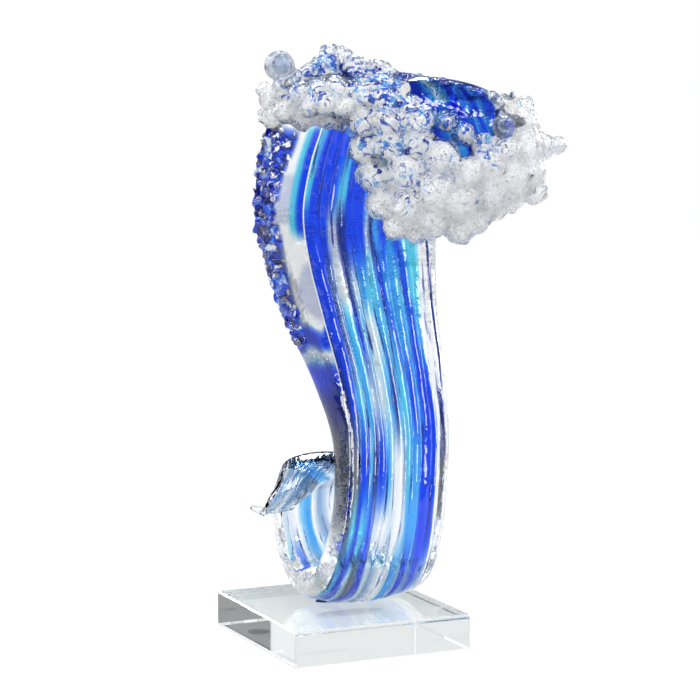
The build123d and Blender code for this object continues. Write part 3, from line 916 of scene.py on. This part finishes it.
def add_camera(settings):
    """The camera at the photograph's viewing angle."""
    camera = bpy.data.cameras.new("camera")
    camera.lens = settings.lens
    camera.sensor_width = 36.0
    camera.clip_start = 0.01
    camera.clip_end = 50.0
    viewer = add_object("camera", camera)
    towards = Vector((math.sin(settings.azimuth) * math.cos(settings.elevation),
                      -math.cos(settings.azimuth) * math.cos(settings.elevation),
                      math.sin(settings.elevation)))
    viewer.location = Vector(settings.target) + towards * settings.distance
    viewer.rotation_euler = (-towards).to_track_quat("-Z", "Y").to_euler()
    bpy.context.scene.camera = viewer


def seen_directly(tree):
    """One where a camera, glossy or transmission ray looks, zero for diffuse light."""
    path = add_node(tree, "ShaderNodeLightPath")
    mirrored = calculate(tree, "MAXIMUM", path.outputs["Is Glossy Ray"], path.outputs["Is Transmission Ray"])
    return calculate(tree, "MAXIMUM", path.outputs["Is Camera Ray"], mirrored)


# The floor lies this far under the plate, and glows this strongly
FLOOR_GAP = 0.0002
FLOOR_GLOW = 0.5


def add_floor(settings):
    """A pale floor that keeps the object's soft shadow."""
    half = settings.floor_size / 2
    low = -FLOOR_GAP
    mesh = bpy.data.meshes.new("floor")
    mesh.from_pydata([(-half, -half, low), (half, -half, low), (half, half, low), (-half, half, low)], [],
                     [(0, 1, 2, 3)])
    floor = add_object("floor", mesh)
    material, tree, shader = new_material("pale_floor")
    set_inputs(shader, {"Base Color": (0.8, 0.8, 0.8, 1.0), "Roughness": 1.0, "Specular IOR Level": 0.0,
                        "Emission Color": (1.0, 1.0, 1.0, 1.0)})
    glow = multiply(tree, seen_directly(tree), FLOOR_GLOW)
    tree.links.new(glow, shader.inputs["Emission Strength"])
    mesh.materials.append(material)


# Dark flags round the object: direction in degrees from +X, half width in degrees and depth
FLAGS = ((-65, 15, 0.95), (-14, 9, 0.45), (-118, 7, 0.40), (28, 8, 0.50), (160, 11, 0.50), (98, 6, 0.30))

# Soft boxes: direction in degrees from +X, height of the middle, half width and half height in degrees
SOFT_BOXES = ((-150, 12, 9, 9), (-58, 20, 9, 10), (25, 10, 9, 9), (110, 16, 9, 9), (-20, 42, 12, 9),
              (65, 42, 10, 12), (-100, 62, 28, 9), (160, 50, 14, 8))

# Light of the surroundings: seen through glass, mirrored, in the mirrored boxes and on matt surfaces, then
# the share of it overhead, and what reaches cloudy glass through the clear skin
WHITE_LEVEL = 0.84
MIRROR_LEVEL = 0.08
BOX_LEVEL = 15.0
DIFFUSE_LEVEL = 0.66
OVERHEAD_SHARE = 0.55
CLOUD_LEVEL = 1.85


def add_world():
    """White surroundings with dark flags that glass looks through to, and bright boxes that it mirrors."""
    world = bpy.data.worlds.new("studio")
    world.use_nodes = True
    bpy.context.scene.world = world
    tree = world.node_tree
    direction = add_node(tree, "ShaderNodeTexCoord").outputs["Generated"]
    parts = add_node(tree, "ShaderNodeSeparateXYZ", {0: direction})
    azimuth = calculate(tree, "ARCTAN2", parts.outputs[1], parts.outputs[0])
    height = calculate(tree, "ARCSINE", parts.outputs[2])

    def turned_from(degrees):
        """Angle between the ray and a direction round the object."""
        turned = calculate(tree, "SUBTRACT", azimuth, math.radians(degrees))
        return calculate(tree, "ARCCOSINE", calculate(tree, "COSINE", turned))

    through = WHITE_LEVEL
    for degrees, half_width, depth in FLAGS:
        shade = map_range(tree, turned_from(degrees), math.radians(half_width * 0.5),
                          math.radians(half_width * 1.5), 1.0 - depth, 1.0)
        through = multiply(tree, shade, through)
    boxes = 0.0
    for degrees, middle, half_width, half_height in SOFT_BOXES:
        across = map_range(tree, turned_from(degrees), math.radians(half_width + 1),
                           math.radians(half_width - 1))
        along = map_range(tree, apart(tree, height, math.radians(middle)), math.radians(half_height + 1),
                          math.radians(half_height - 1))
        boxes = calculate(tree, "ADD", multiply(tree, across, along), boxes)
    mirrored = calculate(tree, "MULTIPLY_ADD", boxes, BOX_LEVEL, MIRROR_LEVEL)
    overhead = map_range(tree, height, math.radians(50), math.radians(72), 1.0, OVERHEAD_SHARE)
    through = multiply(tree, through, overhead)
    path = add_node(tree, "ShaderNodeLightPath")
    seen_through = path.outputs["Is Transmission Ray"]
    scattered = calculate(tree, "GREATER_THAN", path.outputs["Diffuse Depth"], 0.5)
    through = add_node(tree, "ShaderNodeMix", {0: scattered, 2: through, 3: CLOUD_LEVEL}).outputs[0]
    glossy = multiply(tree, path.outputs["Is Glossy Ray"], calculate(tree, "SUBTRACT", 1.0, seen_through))
    neither = calculate(tree, "SUBTRACT", 1.0, calculate(tree, "MAXIMUM", glossy, seen_through))
    strength = calculate(tree, "MULTIPLY_ADD", seen_through, through, multiply(tree, glossy, mirrored))
    strength = calculate(tree, "MULTIPLY_ADD", neither, DIFFUSE_LEVEL, strength)
    strength = calculate(tree, "MAXIMUM", strength, path.outputs["Is Camera Ray"])
    background = tree.nodes["Background"]
    background.inputs["Color"].default_value = (1.0, 1.0, 1.0, 1.0)
    tree.links.new(strength, background.inputs["Strength"])


# The lamp: where it hangs, where it looks and how wide it is
LAMP_PLACE = (-0.4, -0.5, 1.5)
LAMP_VIEW = (0.4, 0.5, -1.35)
LAMP_WIDTH = 1.2


def add_lamp(settings):
    """One broad soft lamp overhead."""
    lamp = bpy.data.lights.new("overhead", "AREA")
    lamp.shape = "DISK"
    lamp.size = LAMP_WIDTH
    lamp.energy = settings.lamp_power
    holder = add_object("overhead", lamp)
    holder.location = LAMP_PLACE
    holder.rotation_euler = Vector(LAMP_VIEW).to_track_quat("-Z", "Y").to_euler()


class WAVE_OT_stage(bpy.types.Operator):
    """Add the camera, the pale floor, the world and the soft lamp"""
    bl_idname = "wave.stage"
    bl_label = "Stage"

    def execute(self, context):
        settings = context.scene.wave_stage
        add_camera(settings)
        add_floor(settings)
        add_world()
        add_lamp(settings)
        context.scene.view_settings.view_transform = "Standard"
        cycles = context.scene.cycles
        cycles.max_bounces = 20
        cycles.transmission_bounces = 20
        cycles.transparent_max_bounces = 16
        cycles.glossy_bounces = 8
        cycles.diffuse_bounces = 8
        return {"FINISHED"}


class WAVE_OT_plate(bpy.types.Operator):
    """Finish the clear plate and the adhesive film on it"""
    bl_idname = "wave.plate"
    bl_label = "Plate"

    def execute(self, context):
        for name, tint in (("base_plate", (0.93, 0.965, 0.96)), ("bond_film", (0.85, 0.93, 0.97))):
            material = clear_glass_material(name + "_glass", tint, 8.0, 0.01)
            dress(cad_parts[name].data, material)
        return {"FINISHED"}


class WAVE_OT_ribbon(bpy.types.Operator):
    """Build the reeded ribbon from the curl's tongue to the lip"""
    bl_idname = "wave.ribbon"
    bl_label = "Ribbon"

    def execute(self, context):
        settings = context.scene.wave_ribbon
        piece = place_object("wave_ribbon", ribbon_mesh(settings), ribbon_material(settings))
        reeds = [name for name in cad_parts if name.startswith("reed_")]
        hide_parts("wave_core", "foot_curl", "curl_tongue", "crest_lip", "edge_cane", *reeds)
        return {"FINISHED"}


FOAM_NODES = ("crest_foam_left", "crest_foam_crown", "crest_foam_curtain", "crest_foam_right")
DROP_NODES = ("crest_drop_left", "crest_drop_right", "crest_drop_middle")
SMOOTH_NODES = DROP_NODES + ("crest_point_right", "crest_point_low", "crest_point_top")

# Where the crest is blue, seen from the front: place along X, height and reach in millimetres, and share
BLUE_PLACES = (
    (-9, 302, 13, 1.0), (-2, 308, 8, 0.8), (11, 293, 15, 1.0), (28, 284, 14, 1.0), (38, 275, 13, 0.9),
    (54, 267, 12, 0.7), (1, 268, 16, 0.7), (15, 262, 14, 0.5), (0, 250, 8, 0.6), (15, 244, 12, 0.35),
    (-27, 291, 9, 0.5), (79, 286, 7, 0.5), (30, 250, 12, 0.25), (48, 240, 10, 0.15),
)

# How blue it is elsewhere
BLUE_REST = 0.05

# Lumps melted over the ribbon's top left: place along X, depth, height and radius in millimetres
MELTED_LUMPS = (
    (-26.5, 5.0, 296.5, 5.5), (-22.7, 5.0, 297.0, 5.5), (-18.0, 5.0, 298.5, 5.5),
    (-13.4, 5.0, 301.5, 5.5), (-9.3, 5.0, 305.0, 5.5), (-31.3, -20.0, 289.5, 6.6),
    (-23.6, -24.0, 291.5, 7.1), (-15.4, -28.0, 292.5, 7.1), (-7.3, -30.0, 290.5, 6.6),
    (-14.0, -36.0, 282.9, 6.5), (-21.3, -30.0, 284.4, 6.5), (-28.6, -24.0, 283.4, 6.1),
    (-2.3, -36.0, 287.5, 6.0),
)

# Clear lumps along the crest's ridge and the lip's upper edge, in the same order
CLEAR_LUMPS = (
    (-0.5, 0.0, 310.2, 4.6), (2.9, -4.0, 308.4, 4.6), (5.9, -9.0, 306.1, 4.6),
    (9.9, -13.0, 303.6, 4.4), (14.5, -17.0, 301.4, 4.6), (19.0, -21.0, 298.8, 4.4),
    (23.5, -25.0, 296.9, 4.2), (29.0, -22.0, 297.2, 4.0), (77.0, -58.0, 276.0, 7.5),
    (35.0, -21.0, 296.6, 3.6), (39.5, -26.0, 295.8, 3.2), (45.0, -30.0, 294.3, 3.4),
    (51.0, -33.5, 292.6, 3.2), (57.0, -36.5, 290.6, 3.6), (62.5, -39.0, 289.2, 3.8),
    (67.5, -41.0, 287.4, 4.4), (72.0, -44.0, 285.0, 4.8), (75.5, -46.5, 282.8, 5.2),
    (79.5, -48.5, 281.0, 5.2), (74.0, -50.5, 278.5, 4.6), (79.0, -53.0, 275.5, 5.0),
)

# How strongly each drop and point is tinted, how far beyond its box, and the share over which the tint fades
DROP_TINTS = (("crest_drop_left", 0.55), ("crest_drop_right", 0.45), ("crest_drop_middle", 0.5),
              ("crest_point_right", 0.25), ("crest_point_low", 0.35))
DROP_SPREAD = 1.5 * MM
DROP_EDGE = 0.15

# Bubbles in the drops: radius as a share of the drop's width, shift, lean in radians and stretch
BUBBLE_SHARE = 0.24
BUBBLE_SHIFT = (0.4, -0.6, 0.6)
BUBBLE_LEAN = 0.5
BUBBLE_STRETCH = (0.94, 0.9, 1.12, 1.0)

# The crest's clear skin grows thicker to the right of the first of these, over the second, by the third
CLEAR_FROM = 66 * MM
CLEAR_REACH = 16 * MM
CLEAR_SHARE = 1.3

# The skin is calmer within this distance of the middle of a drop or point
CALM_REACH = 0.012

# Rounds of smoothing on the crest's skin, on its core and on the melted chips
SKIN_SMOOTHING, CORE_SMOOTHING, CHIP_SMOOTHING = 4, 2, 3

# Smallest and largest fleck, as shares of the fleck size
FLECK_SMALLEST, FLECK_LARGEST = (0.3, 0.12, 0.06), (1.4, 0.42, 0.2)

# Creases: how quickly they open, then as shares of their depth how far the grains stand out of them, how far
# all is pushed in, and how much the grains differ in height
CREASE_OPENING, CREASE_HEIGHT, CREASE_BASE, GRAIN_HEIGHT = 1.6, 0.7, 0.5, 1.1


def add_lumps(target, lumps):
    """Add a ball for each lump."""
    for along, depth, height, radius in lumps:
        place = Matrix.Translation(Vector((along, depth, height)) * MM)
        bmesh.ops.create_icosphere(target, subdivisions=3, radius=radius * MM, matrix=place)


def paint_blue(mesh):
    """Store how blue the crest is at each point."""
    points = vertex_places(mesh)
    share = np.full(len(points), BLUE_REST)
    for along, height, reach, strength in BLUE_PLACES:
        away = ((points[:, 0] - along * MM)**2 + (points[:, 2] - height * MM)**2) / (reach * MM)**2
        share = np.maximum(share, strength * np.exp(-away))
    store(mesh, "blue", share)


def paint_drops(mesh):
    """Store how strongly each point is tinted as part of a drop."""
    points = vertex_places(mesh)
    tint = np.zeros(len(points), np.float32)
    for name, share in DROP_TINTS:
        low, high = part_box(name)
        reach = (high - low).x / 2 + DROP_SPREAD
        away = np.linalg.norm(points - np.array((low + high) / 2), axis=1) / reach
        tint = np.maximum(tint, share * np.clip((1 + DROP_EDGE - away) / DROP_EDGE, 0, 1))
    store(mesh, "drop", tint)


def crease(mesh, grain, depth, offset, calm):
    """Push a skin in along the creases between grains, less so by calm places, and out or in as a whole."""
    points = vertex_places(mesh)
    normals = np.empty(len(points) * 3, np.float32)
    mesh.vertex_normals.foreach_get("vector", normals)
    push = np.zeros(len(points), np.float32)
    for index, point in enumerate(points):
        place = Vector(point)
        distances, seeds = noise.voronoi(place / grain, distance_metric="DISTANCE", exponent=2.5)
        edge = min(1.0, (distances[1] - distances[0]) * CREASE_OPENING)
        chunk = noise.noise(seeds[0] * 7.3)
        soft = min([1.0] + [(place - centre).length / CALM_REACH for centre in calm])
        clearer = 1 + CLEAR_SHARE * min(1.0, max(0.0, (place.x - CLEAR_FROM) / CLEAR_REACH))
        height = edge * CREASE_HEIGHT - CREASE_BASE + chunk * GRAIN_HEIGHT
        push[index] = height * soft**2 * depth + offset * clearer
    points += normals.reshape(-1, 3) * push[:, None]
    points = np.clip(points, np.array(cad_low), np.array(cad_high))
    mesh.vertices.foreach_set("co", points.reshape(-1))
    mesh.shade_smooth()


def drop_bubbles():
    """A bubble, a little out of round, in each drop."""
    bubbles = bmesh.new()
    for name in DROP_NODES:
        low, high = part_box(name)
        place = Matrix.Translation((low + high) / 2 + Vector(BUBBLE_SHIFT) * MM)
        place = place @ Matrix.Rotation(BUBBLE_LEAN, 4, "X") @ Matrix.Diagonal(BUBBLE_STRETCH)
        radius = (high - low).x * BUBBLE_SHARE
        bmesh.ops.create_icosphere(bubbles, subdivisions=4, radius=radius, matrix=place)
    mesh = finished(bubbles, "crest_drop_bubbles")
    mesh.shade_smooth()
    return mesh


def crest_skin(settings, base, material):
    """The clear skin round the lumps of crushed glass, the drops and the points."""
    lumps = bmesh.new()
    lumps.from_mesh(base)
    sizes = {"Density": settings.blob_density, "Radius": settings.blob_radius, "Seed": settings.seed}
    lumps.from_mesh(run_tree(blob_tree(material), base.copy(), sizes, "blobs"))
    for name in SMOOTH_NODES:
        lumps.from_mesh(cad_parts[name].data)
    add_lumps(lumps, MELTED_LUMPS + CLEAR_LUMPS)
    skin = melt(finished(lumps, "crest_crushed_glass"), settings.voxel, SKIN_SMOOTHING)
    paint_drops(skin)
    calm = [(low + high) / 2 for low, high in map(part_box, SMOOTH_NODES)]
    crease(skin, settings.grain, settings.crease, 0.0, calm)
    return skin


def crest_core(settings, base):
    """The cloudy core under the skin, with its share of blue."""
    lumps = bmesh.new()
    lumps.from_mesh(base)
    add_lumps(lumps, MELTED_LUMPS)
    core = melt(finished(lumps, "crest_cloudy_core"), settings.voxel, CORE_SMOOTHING)
    crease(core, settings.core_grain, settings.crease, -settings.core_depth, ())
    paint_blue(core)
    return core


class WAVE_OT_crest(bpy.types.Operator):
    """Melt the crushed glass of the crest together and spread its flecks"""
    bl_idname = "wave.crest"
    bl_label = "Crest"

    def execute(self, context):
        settings = context.scene.wave_crest
        base = finished(joined_mesh(FOAM_NODES), "crest_base")
        clear_skin = crest_material()
        skin = crest_skin(settings, base, clear_skin)
        piece = place_object("crest_crushed_glass", skin, clear_skin)
        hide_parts(*FOAM_NODES, *SMOOTH_NODES)
        core = crest_core(settings, base)
        bubble_glass = clear_glass_material("bubble_glass", (0.62, 0.70, 0.82), 300.0, 0.2)
        place_object("crest_drop_bubbles", drop_bubbles(), bubble_glass)
        blue = fleck_material("blue_flecks", (0.02, 0.16, 0.72), (0.26, 0.60, 0.92))
        white = fleck_material("white_flecks", (0.95, 0.96, 0.97), (0.80, 0.84, 0.88))
        for title, material, density, where in (
            ("crest_blue_flecks", blue, settings.blue_density, "blue"),
            ("crest_white_flecks", white, settings.white_density, None),
        ):
            tree = scatter_tree(title, material, FLECK_SMALLEST, FLECK_LARGEST, 1, where)
            sizes = {"Density": density, "Size": settings.fleck_size, "Seed": settings.seed + len(title)}
            flecks = run_tree(tree, core.copy(), sizes, title)
            place_object(title, flecks, material)
        place_object("crest_cloudy_core", core, core_material())
        return {"FINISHED"}


# Strips for the chips and for the beads: first and last station, and share of the left edge's points
CHIP_STRIP = (12.7, 16.6, 0.5)
BEAD_STRIP = (12.6, 16.9, 0.42)
STRIP_STEPS = 48

# Points of the back that a strip takes in too
STRIP_BACK = 4


def edge_strip(settings, first, last, share):
    """Outer strip of the plain left edge between two stations, for things to be scattered on."""
    rings = []
    for step in range(STRIP_STEPS + 1):
        station = first + (last - first) * step / STRIP_STEPS
        outline = ribbon_ring(settings, station)[0]
        centre, across, back, _ = ribbon_place(settings, station)
        start = len(outline) - LEFT_STEPS
        rings.append([centre + across * x + back * y
                      for x, y in outline[start - STRIP_BACK:start + int(LEFT_STEPS * share)]])
    count = len(rings[0])
    faces = [(row * count + i, row * count + i + 1, (row + 1) * count + i + 1, (row + 1) * count + i)
             for row in range(STRIP_STEPS) for i in range(count - 1)]
    points = [place for ring in rings for place in ring]
    if (points[1] - points[0]).cross(points[count] - points[0]).x > 0:
        faces = [face[::-1] for face in faces]
    mesh = bpy.data.meshes.new("edge_strip")
    mesh.from_pydata(points, [], faces)
    return mesh


class WAVE_OT_bits(bpy.types.Operator):
    """Scatter the edge's chips and beads and finish the tongue's tip"""
    bl_idname = "wave.bits"
    bl_label = "Edge bits"

    def execute(self, context):
        ribbon, settings = context.scene.wave_ribbon, context.scene.wave_edge
        clear = clear_glass_material("bead_glass", (0.95, 0.97, 0.98), 200.0, 0.1)
        milky = clear_glass_material("milky_bead_glass", (0.93, 0.95, 0.99), 200.0, 0.1, transmission=0.9)
        for title, strip, material, smallest, largest, density, size, node, slot in (
            ("edge_cobalt_chips", CHIP_STRIP, frit_material(), (0.3, 0.25, 0.1), (1.1, 0.7, 0.22),
             settings.chip_density, settings.chip_size, "edge_chips", "cobalt_glass"),
            ("edge_clear_beads", BEAD_STRIP, milky, (0.3, 0.3, 0.3), (1.1, 0.9, 0.9),
             settings.bead_density, settings.bead_size, "edge_beads", "clear_glass"),
        ):
            tree = scatter_tree(title, material, smallest, largest, 2)
            values = {"Density": density, "Size": size, "Seed": settings.seed}
            bits = run_tree(tree, edge_strip(ribbon, *strip), values, title)
            if node == "edge_chips":
                bits = melt(bits, settings.voxel, CHIP_SMOOTHING)
            bits.shade_smooth()
            piece = place_object(title, bits, material)
            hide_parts(node)
        dress(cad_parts["curl_tip"].data, clear)
        return {"FINISHED"}


class WAVE_PT_panel(bpy.types.Panel):
    """Buttons that build the sculpture"""
    bl_idname = "WAVE_PT_panel"
    bl_label = "Glass Wave"
    bl_space_type = "VIEW_3D"
    bl_region_type = "UI"
    bl_category = "Glass Wave"

    def draw(self, context):
        for operator in OPERATORS:
            self.layout.operator(operator.bl_idname)


GROUPS = (("wave_stage", StageSettings), ("wave_ribbon", RibbonSettings), ("wave_crest", CrestSettings),
          ("wave_edge", EdgeSettings))
OPERATORS = (WAVE_OT_stage, WAVE_OT_plate, WAVE_OT_ribbon, WAVE_OT_crest, WAVE_OT_bits)


def register():
    """Make the settings, operators and panel known."""
    for name, group in GROUPS:
        bpy.utils.register_class(group)
        setattr(bpy.types.Scene, name, PointerProperty(type=group))
    for operator in OPERATORS:
        bpy.utils.register_class(operator)
    bpy.utils.register_class(WAVE_PT_panel)


def unregister():
    """Take the settings, operators and panel away again."""
    bpy.utils.unregister_class(WAVE_PT_panel)
    for operator in reversed(OPERATORS):
        bpy.utils.unregister_class(operator)
    for name, group in reversed(GROUPS):
        delattr(bpy.types.Scene, name)
        bpy.utils.unregister_class(group)


def main():
    """Build everything in order."""
    register()
    bpy.ops.wave.stage()
    bpy.ops.wave.plate()
    bpy.ops.wave.ribbon()
    bpy.ops.wave.crest()
    bpy.ops.wave.bits()


if __name__ == "__main__":
    main()
